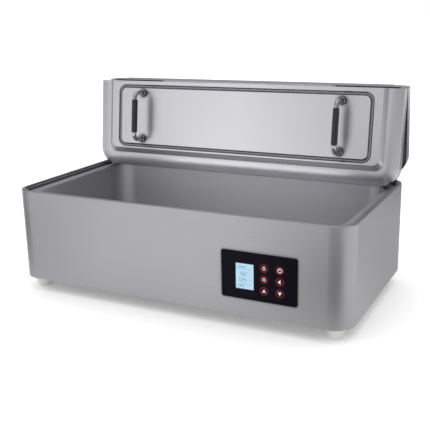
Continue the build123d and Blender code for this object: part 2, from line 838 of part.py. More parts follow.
# Rear hinge: one leaf down the back of the housing, one up the back of the rear lid half
rear_base_frame = Plane(origin=rear_pin, x_dir=(-1, 0, 0), z_dir=(0, -1, 0))
rear_closed_frame = Plane(origin=rear_pin, x_dir=(1, 0, 0), z_dir=(0, -1, 0))
rear_lid_frame = Plane(rear_open * rear_closed_frame.location)
save(hinge_leaf(rear_base_frame, outer, hinge_pin_radius), "rear_hinge_base_leaf")
save(hinge_leaf(rear_lid_frame, middle, hinge_pin_radius + pin_clear), "rear_hinge_lid_leaf")
save(hinge_pin(rear_base_frame), "rear_hinge_pin")

# Fold hinge, under the lid between its halves
fold_rear_frame = Plane(rear_open * Plane(origin=fold_pin).location)
fold_front_closed = Plane(origin=fold_pin, x_dir=(-1, 0, 0), z_dir=(0, 0, 1))
fold_front_frame = Plane(front_open * fold_front_closed.location)
save(hinge_leaf(fold_rear_frame, outer, hinge_pin_radius), "fold_hinge_rear_leaf")
save(hinge_leaf(fold_front_frame, middle, hinge_pin_radius + pin_clear), "fold_hinge_front_leaf")
save(hinge_pin(fold_rear_frame), "fold_hinge_pin")


def half_outline(length, inset, side, end, corner):
    """A half's outline, square at the fold, side and end in from its walls, two round corners."""
    with BuildSketch() as outline:
        with Locations((0, (inset + length - end) / 2)):
            Rectangle(housing_width - 2 * side, length - end - inset)
        fillet(outline.vertices().group_by(Axis.Y)[-1], radius=corner)
    return outline.sketch


def riser_top_edges(edges, half):
    """The edges round the plateau's sides and far end, and not the one along the fold."""

    def runs_there(edge):
        place = half.to_local_coords(edge.center())
        return abs(place.Z - plateau_z) < 0.01 and place.Y > 1

    return edges.filter_by(runs_there)


def groove_edges(edges, half, groove_end):
    """The edges where the groove meets the plateau."""
    reach_x = half_width - groove_inset_side + groove_width
    reach_y = groove_end + groove_width / 2 + 0.5

    def runs_there(edge):
        place = half.to_local_coords(edge.center())
        return abs(place.Z - plateau_z) < 0.01 and abs(place.X) < reach_x and 1 < place.Y < reach_y

    return edges.filter_by(runs_there)


def lid_form(half, length, inset):
    """The pressed form of one lid half, drawn in by inset: walls, domed border, riser, groove."""
    arc_radius = border_radius - inset
    arc_width = border_width - inset
    arc_apex = border_apex - inset
    arc_centre = lid_wall + border_rise - foot_above_centre
    arc_top = arc_centre + arc_radius
    edge_round = lid_edge_round - inset
    round_centre = arc_centre + sqrt((arc_radius - edge_round) ** 2 - (arc_apex - edge_round) ** 2)
    reach = arc_radius / (arc_radius - edge_round)
    meet_x = -arc_apex + (arc_apex - edge_round) * reach
    meet_z = arc_centre + (round_centre - arc_centre) * reach
    land = arc_centre + sqrt(arc_radius**2 - (arc_width - arc_apex) ** 2)
    wall_x = half_width - inset
    far = length - inset
    start = inset - 1
    with BuildPart() as form:
        with BuildSketch(half):
            add(half_outline(length, inset, inset, inset, housing_corner - inset))
        extrude(amount=arc_top)
        with BuildSketch(mode=Mode.PRIVATE) as border:
            with BuildLine():
                Polyline(
                    (0, round_centre),
                    (2, round_centre),
                    (2, land + 2),
                    (-arc_width - 2, land + 2),
                    (-arc_width - 2, land),
                    (-arc_width, land),
                )
                RadiusArc((-arc_width, land), (meet_x, meet_z), arc_radius)
                RadiusArc((meet_x, meet_z), (0, round_centre), edge_round)
            make_face()
        corner = housing_corner - inset
        turn_x = wall_x - corner
        turn_y = far - corner
        runs = (
            ((wall_x, start, 0), (1, 0, 0), (0, -1, 0), turn_y - start),
            ((turn_x, far, 0), (0, 1, 0), (1, 0, 0), 2 * turn_x),
            ((-wall_x, turn_y, 0), (-1, 0, 0), (0, 1, 0), turn_y - start),
        )
        for origin, outward, backward, run in runs:
            with BuildSketch(half * Plane(origin, outward, backward)):
                add(border.sketch)
            extrude(amount=-run, mode=Mode.SUBTRACT)
        turns = (
            ((wall_x, turn_y, 0), (1, 0, 0), (0, -1, 0), turn_x),
            ((-turn_x, far, 0), (0, 1, 0), (1, 0, 0), -turn_x),
        )
        for origin, outward, backward, centre_x in turns:
            centre = half.from_local_coords((centre_x, turn_y, 0))
            with BuildSketch(half * Plane(origin, outward, backward)):
                add(border.sketch)
            revolve(axis=Axis(centre, half.z_dir), revolution_arc=90, mode=Mode.SUBTRACT)
        foot_side = border_width + inset
        foot_end = border_width - 0.5 + inset
        with BuildSketch(half.offset(land)):
            add(half_outline(length, inset, foot_side, foot_end, riser_corner))
        with BuildSketch(half.offset(plateau_z - inset)):
            add(
                half_outline(
                    length,
                    inset,
                    foot_side + riser_run_side,
                    foot_end + riser_run_end,
                    riser_corner - riser_run_side / 2,
                )
            )
        loft(ruled=True)
        if inset == 0:
            fillet(riser_top_edges(form.edges(), half), radius=riser_top_round)
        groove_sink = groove_depth / 2 - groove_width**2 / (8 * groove_depth)
        groove_x = half_width - groove_inset_side
        groove_end = length - groove_inset_end
        groove_middle = (groove_from_fold + groove_end) / 2
        with BuildSketch(half.offset(plateau_z - groove_sink), mode=Mode.PRIVATE) as groove_loop:
            with Locations((0, groove_middle)):
                RectangleRounded(2 * groove_x, groove_end - groove_from_fold, groove_corner)
        groove_start = half * Plane(
            origin=(0, groove_from_fold, plateau_z - groove_sink), x_dir=(0, 1, 0), z_dir=(1, 0, 0)
        )
        with BuildSketch(groove_start):
            Circle((groove_depth**2 + groove_width**2 / 4) / (2 * groove_depth) + inset)
        sweep(path=groove_loop.sketch.wires()[0], mode=Mode.SUBTRACT)
        if inset == 0:
            fillet(groove_edges(form.edges(), half, groove_end), radius=groove_lip_round)
    return form.part


def lid_skin(half, length, holes):
    """The pressed upper skin of a lid half, open below, notched over the fold hinge."""
    with BuildPart() as skin:
        add(lid_form(half, length, 0))
        add(lid_form(half, length, lid_sheet), mode=Mode.SUBTRACT)
        notch = Plane(origin=(0, -1, 0), x_dir=(1, 0, 0), z_dir=(0, 0, 1))
        with BuildSketch(half * notch):
            Rectangle(housing_width - 2 * fold_notch_inset, 6)
        extrude(amount=liner_recess, mode=Mode.SUBTRACT)
        notch_start = hinge_length / 2 + knuckle_radius
        notch_end = half_width - fold_notch_inset
        with BuildSketch(half * notch):
            with Locations(*[(side * (notch_start + notch_end) / 2, 0) for side in (-1, 1)]):
                Rectangle(notch_end - notch_start, 6)
        extrude(amount=fold_notch_height, mode=Mode.SUBTRACT)
        if holes:
            with BuildSketch(half.offset(plateau_z)):
                with Locations(holes):
                    Circle(handle_screw_radius)
            extrude(amount=-2 * lid_sheet, mode=Mode.SUBTRACT)
    return skin


def lid_liner(half, length):
    """The flat sheet that closes a lid half from below, set up between its walls."""
    with BuildPart() as liner:
        with BuildSketch(half.offset(liner_recess)):
            add(half_outline(length, lid_sheet, lid_sheet, lid_sheet, housing_corner - lid_sheet))
        extrude(amount=lid_sheet)
    return liner


def lid_core(half, length):
    """The insulating slab inside a lid half."""
    slack = 4 * lid_sheet
    with BuildPart() as core:
        with BuildSketch(half.offset(liner_recess + lid_sheet)):
            add(half_outline(length, core_from_fold, slack, slack, housing_corner - slack))
        extrude(amount=lid_wall - liner_recess - 3 * lid_sheet)
    return core


handle_ys = (handle_near, handle_far)
handle_places = [(side * handle_x, y) for side in (-1, 1) for y in handle_ys]
save(lid_skin(rear_half, rear_length, []), "lid_rear_skin")
save(lid_liner(rear_half, rear_length), "lid_rear_liner")
save(lid_core(rear_half, rear_length), "lid_rear_core")
save(lid_skin(front_half, front_length, handle_places), "lid_front_skin")
save(lid_liner(front_half, front_length), "lid_front_liner")
save(lid_core(front_half, front_length), "lid_front_core")

# Handles: a bent bar with a sleeve, on two round ferrules, screwed from inside the lid.
# The front half's x runs to the left, so the left handle lies at plus handle_x.
bar_top = plateau_z + handle_projection - handle_bar_radius
for side, side_name in ((1, "left"), (-1, "right")):
    bar_plane = front_half * Plane.YZ.offset(side * handle_x)
    with BuildPart() as handle_bar:
        with BuildLine(bar_plane) as bar_path:
            FilletPolyline(
                (handle_ys[0], plateau_z),
                (handle_ys[0], bar_top),
                (handle_ys[1], bar_top),
                (handle_ys[1], plateau_z),
                radius=handle_bend,
            )
        with BuildSketch(Plane(origin=bar_path.line @ 0, z_dir=bar_path.line % 0)):
            Circle(handle_bar_radius)
        sweep()
        with BuildSketch(front_half.offset(plateau_z)):
            with Locations(*[(side * handle_x, y) for y in handle_ys]):
                Circle(handle_screw_radius)
        extrude(amount=handle_screw_length - lid_sheet, mode=Mode.SUBTRACT)
    save(handle_bar, f"handle_bar_{side_name}")

    grip_start = (handle_ys[0] + handle_ys[1] - grip_length) / 2
    grip_plane = Plane(
        origin=(side * handle_x, grip_start, bar_top), x_dir=(1, 0, 0), z_dir=(0, 1, 0)
    )
    with BuildPart() as handle_grip:
        with BuildSketch(front_half * grip_plane):
            Circle(grip_radius)
        extrude(amount=grip_length)
        fillet(handle_grip.edges().filter_by(GeomType.CIRCLE), radius=1.2)
        with BuildSketch(front_half * grip_plane):
            Circle(handle_bar_radius)
        extrude(amount=grip_length, mode=Mode.SUBTRACT)
    save(handle_grip, f"handle_grip_{side_name}")

with BuildPart() as handle_ferrules:
    with BuildSketch(front_half.offset(plateau_z)):
        with Locations(handle_places):
            Circle(ferrule_radius)
    extrude(amount=ferrule_height)
    fillet(handle_ferrules.edges().group_by(Axis(front_half.origin, front_half.z_dir))[-1], radius=1.6)
    with BuildSketch(front_half.offset(plateau_z)):
        with Locations(handle_places):
            Circle(handle_bar_radius)
    extrude(amount=ferrule_height, mode=Mode.SUBTRACT)
save(handle_ferrules, "handle_ferrules")

with BuildPart() as handle_screws:
    with BuildSketch(front_half.offset(plateau_z - lid_sheet)):
        with Locations(handle_places):
            Circle(handle_screw_radius)
    extrude(amount=handle_screw_length)
    with BuildSketch(front_half.offset(plateau_z - lid_sheet)):
        with Locations(handle_places):
            Circle(2 * handle_screw_radius)
    extrude(amount=-2.4)
save(handle_screws, "handle_screws")

fold_open = (rear_open * Location(fold_pin)).position
print("rear pin", rear_pin)
print("fold pin when open", fold_open.X, fold_open.Y, fold_open.Z)
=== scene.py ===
from math import cos, pi, sin

import bpy
import numpy as np
from mathutils import Matrix, Vector


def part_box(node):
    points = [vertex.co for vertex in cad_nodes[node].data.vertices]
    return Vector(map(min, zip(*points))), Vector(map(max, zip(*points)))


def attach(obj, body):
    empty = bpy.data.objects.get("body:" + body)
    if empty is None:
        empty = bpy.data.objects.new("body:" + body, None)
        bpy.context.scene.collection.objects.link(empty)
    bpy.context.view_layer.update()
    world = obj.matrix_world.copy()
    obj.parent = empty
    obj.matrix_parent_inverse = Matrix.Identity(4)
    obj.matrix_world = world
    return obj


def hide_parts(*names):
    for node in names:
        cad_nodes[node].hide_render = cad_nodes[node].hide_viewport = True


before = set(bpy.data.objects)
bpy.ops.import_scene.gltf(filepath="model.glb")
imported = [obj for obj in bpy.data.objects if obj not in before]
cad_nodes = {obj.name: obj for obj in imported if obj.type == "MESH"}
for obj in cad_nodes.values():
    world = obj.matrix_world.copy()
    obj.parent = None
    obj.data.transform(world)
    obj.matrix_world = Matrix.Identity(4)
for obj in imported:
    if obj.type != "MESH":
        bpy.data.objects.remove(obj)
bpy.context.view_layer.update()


# Housing shell. One wrap of stainless sheet with its rim flange turned in, and angle brackets
# welded inside for the pan. The sheet was rubbed lengthwise before it was bent, so that its grain
# runs level round all four walls. Painted shade darkens the steel in its corners, along the rim's
# gaps and wherever other surfaces close in on it.
def surface_finish(
    name, dark, light, rough, stretch, depth, clouds=6.0, round_axis=None, painted_shade=None, **sockets
):
    """A material whose noise runs from the dark tone to the light one and from the lower roughness
    to the higher one, and stands up by depth metres. The noise changes stretch times a metre along
    x, y and z, and a slower noise, clouds times a metre, shifts the tone. The gloss spreads along
    circles about the round axis, if one is given. The painted shade, if given, is a reach in metres
    and a share of the tone: the tone is darkened down to that share where surfaces within that
    reach shut a place in, which paints shade into corners, creases, grooves and joints. The
    sockets are set on the shader by their names."""
    noise_low, noise_high = 0.3, 0.7
    # Occlusion values at which the painted shade is full and at which it is gone
    full_shade_at, no_shade_at = 0.74, 0.98
    material = bpy.data.materials.new(name)
    material.use_nodes = True
    tree = material.node_tree
    shader = tree.nodes["Principled BSDF"]
    for socket, value in sockets.items():
        shader.inputs[socket.replace("_", " ")].default_value = value
    place = tree.nodes.new("ShaderNodeTexCoord")
    stretched = tree.nodes.new("ShaderNodeMapping")
    stretched.inputs["Scale"].default_value = stretch
    grain = tree.nodes.new("ShaderNodeTexNoise")
    grain.inputs["Scale"].default_value = 1.0
    grain.inputs["Detail"].default_value = 3.0
    cloud = tree.nodes.new("ShaderNodeTexNoise")
    cloud.inputs["Scale"].default_value = clouds
    cloud.inputs["Detail"].default_value = 2.0
    both = tree.nodes.new("ShaderNodeMix")
    both.inputs["Factor"].default_value = 0.5
    tones = tree.nodes.new("ShaderNodeValToRGB")
    tones.color_ramp.elements[0].position = noise_low
    tones.color_ramp.elements[0].color = (*dark, 1)
    tones.color_ramp.elements[1].position = noise_high
    tones.color_ramp.elements[1].color = (*light, 1)
    spread = tree.nodes.new("ShaderNodeMapRange")
    spread.inputs["From Min"].default_value = noise_low
    spread.inputs["From Max"].default_value = noise_high
    spread.inputs["To Min"].default_value = rough[0]
    spread.inputs["To Max"].default_value = rough[1]
    relief = tree.nodes.new("ShaderNodeBump")
    relief.inputs["Strength"].default_value = 1.0
    relief.inputs["Distance"].default_value = depth
    tree.links.new(place.outputs["Object"], stretched.inputs["Vector"])
    tree.links.new(stretched.outputs["Vector"], grain.inputs["Vector"])
    tree.links.new(place.outputs["Object"], cloud.inputs["Vector"])
    tree.links.new(grain.outputs["Fac"], both.inputs["A"])
    tree.links.new(cloud.outputs["Fac"], both.inputs["B"])
    tree.links.new(both.outputs["Result"], tones.inputs["Fac"])
    # Painted shade: an ambient occlusion node darkens the tone in corners, creases, grooves and
    # where parts meet.
    if painted_shade:
        painted_occlusion = tree.nodes.new("ShaderNodeAmbientOcclusion")
        painted_occlusion.samples = 8
        painted_occlusion.inputs["Distance"].default_value = painted_shade[0]
        shade = tree.nodes.new("ShaderNodeMapRange")
        shade.inputs["From Min"].default_value = full_shade_at
        shade.inputs["From Max"].default_value = no_shade_at
        shade.inputs["To Min"].default_value = painted_shade[1]
        shaded = tree.nodes.new("ShaderNodeVectorMath")
        shaded.operation = "SCALE"
        tree.links.new(painted_occlusion.outputs["AO"], shade.inputs["Value"])
        tree.links.new(tones.outputs["Color"], shaded.inputs[0])
        tree.links.new(shade.outputs["Result"], shaded.inputs["Scale"])
        tree.links.new(shaded.outputs["Vector"], shader.inputs["Base Color"])
    else:
        tree.links.new(tones.outputs["Color"], shader.inputs["Base Color"])
    tree.links.new(both.outputs["Result"], spread.inputs["Value"])
    tree.links.new(spread.outputs["Result"], shader.inputs["Roughness"])
    tree.links.new(grain.outputs["Fac"], relief.inputs["Height"])
    tree.links.new(relief.outputs["Normal"], shader.inputs["Normal"])
    if round_axis:
        spread_way = tree.nodes.new("ShaderNodeTangent")
        spread_way.direction_type = "RADIAL"
        spread_way.axis = round_axis
        tree.links.new(spread_way.outputs["Tangent"], shader.inputs["Tangent"])
    return material


def coat_nodes(material, *names):
    """Gives these CAD nodes the material."""
    for name in names:
        mesh = cad_nodes[name].data
        mesh.materials.clear()
        mesh.materials.append(material)


housing_steel = surface_finish(
    "housing_steel",
    dark=(0.333, 0.330, 0.347),
    light=(0.371, 0.368, 0.386),
    rough=(0.33, 0.41),
    stretch=(3, 3, 1400),
    depth=2e-6,
    round_axis="Z",
    # painted shade in corners and gaps
    painted_shade=(0.005, 0.35),
    Metallic=1.0,
    Anisotropic=0.6,
    Anisotropic_Rotation=0.25,
)
coat_nodes(housing_steel, "housing_shell", "tub_brackets")

# Base plate and its screws. Plain mill-finished stainless, screwed up against the housing's lower
# flange, with zinc-plated screws for the plate and for the feet.
plain_steel = surface_finish(
    "plain_steel",
    dark=(0.36, 0.36, 0.37),
    light=(0.44, 0.44, 0.45),
    rough=(0.38, 0.5),
    stretch=(60, 500, 500),
    depth=2e-6,
    Metallic=1.0,
)
screw_zinc = surface_finish(
    "screw_zinc",
    dark=(0.5, 0.5, 0.49),
    light=(0.62, 0.62, 0.6),
    rough=(0.25, 0.38),
    stretch=(900, 900, 900),
    depth=4e-6,
    clouds=90.0,
    Metallic=1.0,
)
coat_nodes(plain_steel, "base_plate", "heater_clamps")
coat_nodes(screw_zinc, "base_screws", "foot_screws")

# Feet. Tapered mouldings of milky nylon, which let a little light through at their edges. One is
# screwed under each corner of the base plate.
foot_nylon = surface_finish(
    "foot_nylon",
    dark=(0.80, 0.785, 0.75),
    light=(0.88, 0.87, 0.84),
    rough=(0.28, 0.4),
    stretch=(400, 400, 400),
    depth=8e-6,
    clouds=40.0,
    Subsurface_Weight=0.6,
    Subsurface_Radius=(0.012, 0.011, 0.009),
    Subsurface_Scale=1.0,
    Transmission_Weight=0.2,
)
coat_nodes(foot_nylon, "foot_front_left", "foot_front_right", "foot_rear_left", "foot_rear_right")

# Pan and its seal. The pan is drawn from one sheet of satin stainless, and a strip of dark grey
# silicone fills the gap between its lip and the housing's hem. Painted shade darkens the pan's
# steel in its corners and along its ledge, where other surfaces close in.
tub_steel = surface_finish(
    "tub_steel",
    dark=(0.440, 0.436, 0.459),
    light=(0.500, 0.496, 0.522),
    rough=(0.48, 0.58),
    stretch=(8, 700, 700),
    depth=2e-6,
    # painted shade in corners and along the ledge
    painted_shade=(0.005, 0.35),
    Metallic=1.0,
)
seal_silicone = surface_finish(
    "seal_silicone",
    dark=(0.030, 0.030, 0.033),
    light=(0.050, 0.050, 0.054),
    rough=(0.55, 0.7),
    stretch=(900, 900, 900),
    depth=1e-5,
)
coat_nodes(tub_steel, "tub")
coat_nodes(seal_silicone, "rim_seal")

# Insulation. A blanket of yellow glass wool goes round the pan, and a slab of the same wool fills
# each half of the lid between its skin and its liner.
glass_wool = surface_finish(
    "glass_wool",
    dark=(0.55, 0.47, 0.22),
    light=(0.85, 0.78, 0.5),
    rough=(0.85, 1.0),
    stretch=(160, 160, 700),
    depth=8e-4,
    clouds=30.0,
    Sheen_Weight=0.3,
)
coat_nodes(glass_wool, "insulation", "lid_rear_core", "lid_front_core")

# Heater. A bent tubular element with an oxide skin, a brass temperature probe, and a brown
# over-temperature cut-out, all under the pan's floor.
element_skin = surface_finish(
    "element_skin",
    dark=(0.10, 0.095, 0.08),
    light=(0.2, 0.19, 0.17),
    rough=(0.45, 0.6),
    stretch=(120, 300, 300),
    depth=1e-5,
    Metallic=1.0,
)
brass = surface_finish(
    "brass",
    dark=(0.62, 0.43, 0.17),
    light=(0.75, 0.55, 0.26),
    rough=(0.22, 0.36),
    stretch=(500, 500, 500),
    depth=5e-6,
    clouds=50.0,
    Metallic=1.0,
)
cutout_resin = surface_finish(
    "cutout_resin",
    dark=(0.05, 0.025, 0.015),
    light=(0.09, 0.05, 0.03),
    rough=(0.4, 0.55),
    stretch=(900, 900, 900),
    depth=1e-5,
)
coat_nodes(element_skin, "heating_element")
coat_nodes(brass, "temperature_probe", "board_posts", "inlet_pins")
coat_nodes(cutout_resin, "thermal_cutout")

# Circuit boards and switches. Green glass-resin boards with dark moulded parts on them, and small
# black push switches behind the keys.
board_resin = surface_finish(
    "board_resin",
    dark=(0.01, 0.09, 0.04),
    light=(0.03, 0.2, 0.09),
    rough=(0.3, 0.5),
    stretch=(250, 250, 250),
    depth=3e-5,
    clouds=120.0,
)
switch_plastic = surface_finish(
    "switch_plastic",
    dark=(0.012, 0.012, 0.013),
    light=(0.03, 0.03, 0.032),
    rough=(0.4, 0.55),
    stretch=(1200, 1200, 1200),
    depth=6e-6,
)
coat_nodes(board_resin, "power_board", "control_board")
coat_nodes(switch_plastic, "key_switches", "display_module")

# Control panel. A glossy black moulding over the opening in the front wall, with a bevelled edge
# and its face sunk a little inside a narrow border.
panel_gloss = surface_finish(
    "panel_gloss",
    dark=(0.003, 0.002, 0.005),
    light=(0.004, 0.003, 0.007),
    rough=(0.14, 0.22),
    stretch=(300, 300, 300),
    depth=1e-6,
    Specular_IOR_Level=0.06,
)
coat_nodes(panel_gloss, "control_panel")


# Display. A clear pane is set in the panel over a backlit pale blue screen. Its dark segments make
# two rows of plain numbers, each with a point and a dash, and thin rules and short bars about them.
def loop_points(count, radius):
    """Points evenly round a circle: radius times the cosine and sine of the angle."""
    angle = np.arange(count) * 2 * pi / count
    return np.column_stack((radius * np.cos(angle), radius * np.sin(angle)))


def raised_plate(outlines, centre, face_y, height):
    """Flat plates raised from a plane that faces forwards. Each outline, points of x and z about
    the centre, gives a front at height before face_y, a back at face_y, and sides between."""
    vertices, faces = [], []
    for outline in outlines:
        outline = np.asarray(outline, float)
        turn = np.roll(outline, -1, axis=0)
        if (outline[:, 0] * turn[:, 1] - turn[:, 0] * outline[:, 1]).sum() < 0:
            outline = outline[::-1]
        count = len(outline)
        base = len(vertices)
        across, up = (outline + centre).T
        for y in (face_y - height, face_y):
            vertices += np.column_stack((across, np.full(count, y), up)).tolist()
        front = base + np.arange(count)
        back = front + count
        faces.append(front.tolist())
        faces.append(back[::-1].tolist())
        ahead = np.roll(np.arange(count), -1)
        faces += np.column_stack((front, back, back[ahead], front[ahead])).tolist()
    return vertices, faces


def new_piece(name, vertices, faces, material, body):
    """A mesh object at the origin, with its place in its vertices, riding on a body."""
    mesh = bpy.data.meshes.new(name)
    mesh.from_pydata(vertices, [], faces)
    mesh.materials.append(material)
    piece = bpy.data.objects.new(name, mesh)
    bpy.context.scene.collection.objects.link(piece)
    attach(piece, body)
    return piece


window_low, window_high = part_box("display_window")
window_middle = ((window_low.x + window_high.x) / 2, (window_low.z + window_high.z) / 2)
window_size = (window_high.x - window_low.x, window_high.z - window_low.z)
pane_thickness = 0.0005
screen_inset = 0.0003
screen_gap = 0.0002
screen_height = 0.0003
segment_height = 0.00006
pane_clear = surface_finish(
    "pane_clear",
    dark=(0.9, 0.94, 0.97),
    light=(0.96, 0.98, 1.0),
    rough=(0.02, 0.06),
    stretch=(200, 200, 200),
    depth=1e-7,
    Transmission_Weight=1.0,
    IOR=1.2,
)
screen_glow = surface_finish(
    "screen_glow",
    dark=(0.42, 0.60, 0.70),
    light=(0.56, 0.76, 0.86),
    rough=(0.5, 0.6),
    stretch=(2600, 2600, 2600),
    depth=2e-6,
    clouds=70.0,
    Emission_Color=(0.50, 0.73, 0.88, 1),
    Emission_Strength=0.43,
)
segment_ink = surface_finish(
    "segment_ink",
    dark=(0.10, 0.17, 0.22),
    light=(0.15, 0.23, 0.28),
    rough=(0.5, 0.6),
    stretch=(900, 900, 900),
    depth=1e-6,
)


def rectangle(width, height, x=0.0, z=0.0):
    """The four corners of an upright rectangle about x and z."""
    return np.array([(-1, -1), (1, -1), (1, 1), (-1, 1)]) * (width / 2, height / 2) + (x, z)


pane_back = window_low.y + pane_thickness
pane_shape = raised_plate([rectangle(*window_size)], window_middle, pane_back, pane_thickness)
pane = new_piece("display_pane", *pane_shape, pane_clear, "housing")
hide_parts("display_window")
screen_y = window_high.y - screen_gap
screen_outline = rectangle(window_size[0] - 2 * screen_inset, window_size[1] - 2 * screen_inset)
screen_shape = raised_plate([screen_outline], window_middle, screen_y, screen_height)
new_piece("display_screen", *screen_shape, screen_glow, "housing")


def digit_segments(figure, width, height, thick, x, z):
    """The lit bars of a seven-segment figure about x and z, each as long as a side or half a side
    and pointed at both ends, where it narrows over half its thickness."""
    lit = {"0": "abcdef", "1": "bc", "2": "abged", "5": "afgcd", "6": "afgedc"}
    end_gap = 0.1 * thick
    bars = {
        "a": (0, height / 2, True),
        "g": (0, 0, True),
        "d": (0, -height / 2, True),
        "f": (-width / 2, height / 4, False),
        "b": (width / 2, height / 4, False),
        "e": (-width / 2, -height / 4, False),
        "c": (width / 2, -height / 4, False),
    }
    outlines = []
    for bar in lit[figure]:
        bar_x, bar_z, level = bars[bar]
        reach = (width if level else height / 2) / 2 - end_gap
        half = thick / 2
        lower = [(-reach, 0), (half - reach, -half), (reach - half, -half)]
        upper = [(reach, 0), (reach - half, half), (half - reach, half)]
        points = np.array(lower + upper)
        if not level:
            points = points[:, ::-1]
        outlines.append(points + (x + bar_x, z + bar_z))
    return outlines


figure_rows = (("160", 0.0042), ("025", -0.0056))
figure_size = (0.0027, 0.0056)
figure_thick = 0.0007
figure_middle_x = -0.003
figure_pitch = 0.0044
point_radius = 0.0006
point_from_row = (0.0058, 0.0024)
dash_size = (0.0022, 0.0006)
dash_x = 0.0088
rule_size = (0.022, 0.0004)
upper_rule_z, lower_rule_z = 0.0115, -0.0125
upper_bar = (0.012, 0.0011, -0.004, 0.0150)
lower_bar = (0.008, 0.0011, -0.006, -0.0155)
segment_outlines = []
for figures, row_z in figure_rows:
    for i, figure in enumerate(figures):
        figure_x = (i - 1) * figure_pitch + figure_middle_x
        segment_outlines += digit_segments(figure, *figure_size, figure_thick, figure_x, row_z)
    point_place = (point_from_row[0], row_z + point_from_row[1])
    segment_outlines.append(loop_points(10, point_radius) + point_place)
    segment_outlines.append(rectangle(*dash_size, dash_x, row_z))
segment_outlines.append(rectangle(*rule_size, 0, upper_rule_z))
segment_outlines.append(rectangle(*upper_bar))
segment_outlines.append(rectangle(*rule_size, 0, lower_rule_z))
segment_outlines.append(rectangle(*lower_bar))
screen_face_y = screen_y - screen_height
segment_shape = raised_plate(segment_outlines, window_middle, screen_face_y, segment_height)
new_piece("display_segments", *segment_shape, segment_ink, "housing")

# Keys. Round black caps that show through holes in the panel. Each has a printed red ring round
# its edge and a white sign in the middle, in ink thick enough to feel.
key_gloss = surface_finish(
    "key_gloss",
    dark=(0.003, 0.003, 0.004),
    light=(0.006, 0.006, 0.007),
    rough=(0.2, 0.3),
    stretch=(900, 900, 900),
    depth=2e-6,
    Specular_IOR_Level=0.12,
)
ring_ink = surface_finish(
    "ring_ink",
    dark=(0.16, 0.004, 0.008),
    light=(0.22, 0.007, 0.012),
    rough=(0.3, 0.42),
    stretch=(1200, 1200, 1200),
    depth=4e-6,
    Specular_IOR_Level=0.1,
)
sign_ink = surface_finish(
    "sign_ink",
    dark=(0.62, 0.62, 0.64),
    light=(0.78, 0.78, 0.80),
    rough=(0.35, 0.5),
    stretch=(1500, 1500, 1500),
    depth=4e-6,
)
ring_points = 48
ring_outer = 0.0067
ring_inner = 0.0054
ink_height = 0.00008
sign_stroke = 0.0010


def band(outer, inner):
    """A closed band between two loops of as many points, cut into short stretches. Each is the
    outline through a point and the next one on the outer loop, and back along the inner loop."""
    ahead_outer = np.roll(outer, -1, axis=0)
    ahead_inner = np.roll(inner, -1, axis=0)
    return [np.array(quad) for quad in zip(outer, ahead_outer, ahead_inner, inner)]


def stroke(points, width):
    """The outline of a line of that width along the points: each point moved half the width to
    both sides, at a right angle to the run through its neighbours."""
    points = np.asarray(points, float)
    run = np.gradient(points, axis=0)
    run /= np.linalg.norm(run, axis=1)[:, None]
    aside = np.column_stack((-run[:, 1], run[:, 0])) * width / 2
    return np.vstack((points + aside, (points - aside)[::-1]))


def arc(radius, start, end, count=24, x=0.0, z=0.0):
    """Points along an arc from the start angle to the end angle, in degrees."""
    angle = np.radians(np.linspace(start, end, count))
    return np.column_stack((x + radius * np.cos(angle), z + radius * np.sin(angle)))


drop_tip = [(0, 0.0034)]
drop_path = np.vstack((drop_tip, arc(0.0021, -215, 35, 28, 0, -0.0007), drop_tip))
thin_stroke = 0.8 * sign_stroke
thick_stroke = 1.3 * sign_stroke
slash = [(-0.0024, -0.0022), (0.0024, 0.0026)]
wedge = [(-0.0017, 0.0030), (0, 0.0001), (0.0017, 0.0030)]
arrow_up = np.array([(0, 0.0036), (0.0033, -0.0032), (0, -0.0015), (-0.0033, -0.0032)])
back_upper = [(-0.0036, 0), (0.0014, 0.0035)]
back_lower = [(0.0014, -0.0035)]
back_notch = arc(0.0016, 130, 230, 12, 0.0026)
key_signs = {
    "key_program": [stroke(drop_path, sign_stroke)],
    "key_timer": [
        stroke(arc(0.0014, 0, 360, 28, -0.0010, 0.0011), thin_stroke),
        stroke(arc(0.0014, 0, 360, 28, 0.0012, -0.0012), thin_stroke),
        stroke(slash, thin_stroke),
    ],
    "key_up": [arrow_up],
    "key_power": [stroke(arc(0.0031, 90, 450, 40), thick_stroke), wedge],
    "key_back": [np.vstack((back_upper, back_notch, back_lower))],
    "key_down": [arrow_up * (1, -1)],
}
ring_band = band(loop_points(ring_points, ring_outer), loop_points(ring_points, ring_inner))
for key, sign in key_signs.items():
    key_low, key_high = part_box(key)
    key_middle = ((key_low.x + key_high.x) / 2, (key_low.z + key_high.z) / 2)
    coat_nodes(key_gloss, key)
    ring_shape = raised_plate(ring_band, key_middle, key_low.y, ink_height)
    sign_shape = raised_plate(sign, key_middle, key_low.y, ink_height)
    new_piece(f"{key}_ring", *ring_shape, ring_ink, key)
    new_piece(f"{key}_sign", *sign_shape, sign_ink, key)

# Mains inlet. A socket moulded in black resin goes through the back wall and is held by two
# screws. Its three brass pins stand in a well.
inlet_resin = surface_finish(
    "inlet_resin",
    dark=(0.011, 0.011, 0.012),
    light=(0.024, 0.024, 0.025),
    rough=(0.35, 0.5),
    stretch=(800, 800, 800),
    depth=1.2e-5,
)
coat_nodes(inlet_resin, "power_inlet")
coat_nodes(screw_zinc, "inlet_screws")

# Drain. A stainless fitting and pipe lead to a nickelled brass valve on the back wall, with a
# polished ball and a lever dipped in red plastic.
nickel = surface_finish(
    "nickel",
    dark=(0.52, 0.5, 0.46),
    light=(0.64, 0.62, 0.58),
    rough=(0.16, 0.26),
    stretch=(300, 300, 300),
    depth=4e-6,
    clouds=60.0,
    Metallic=1.0,
)
lever_red = surface_finish(
    "lever_red",
    dark=(0.38, 0.015, 0.012),
    light=(0.5, 0.03, 0.02),
    rough=(0.3, 0.42),
    stretch=(600, 600, 600),
    depth=1e-5,
)
# The fitting and pipe take the pan's steel, with its painted shade where surfaces close in.
coat_nodes(tub_steel, "drain_fitting", "drain_pipe")
coat_nodes(nickel, "drain_valve", "drain_ball")
coat_nodes(lever_red, "drain_lever")

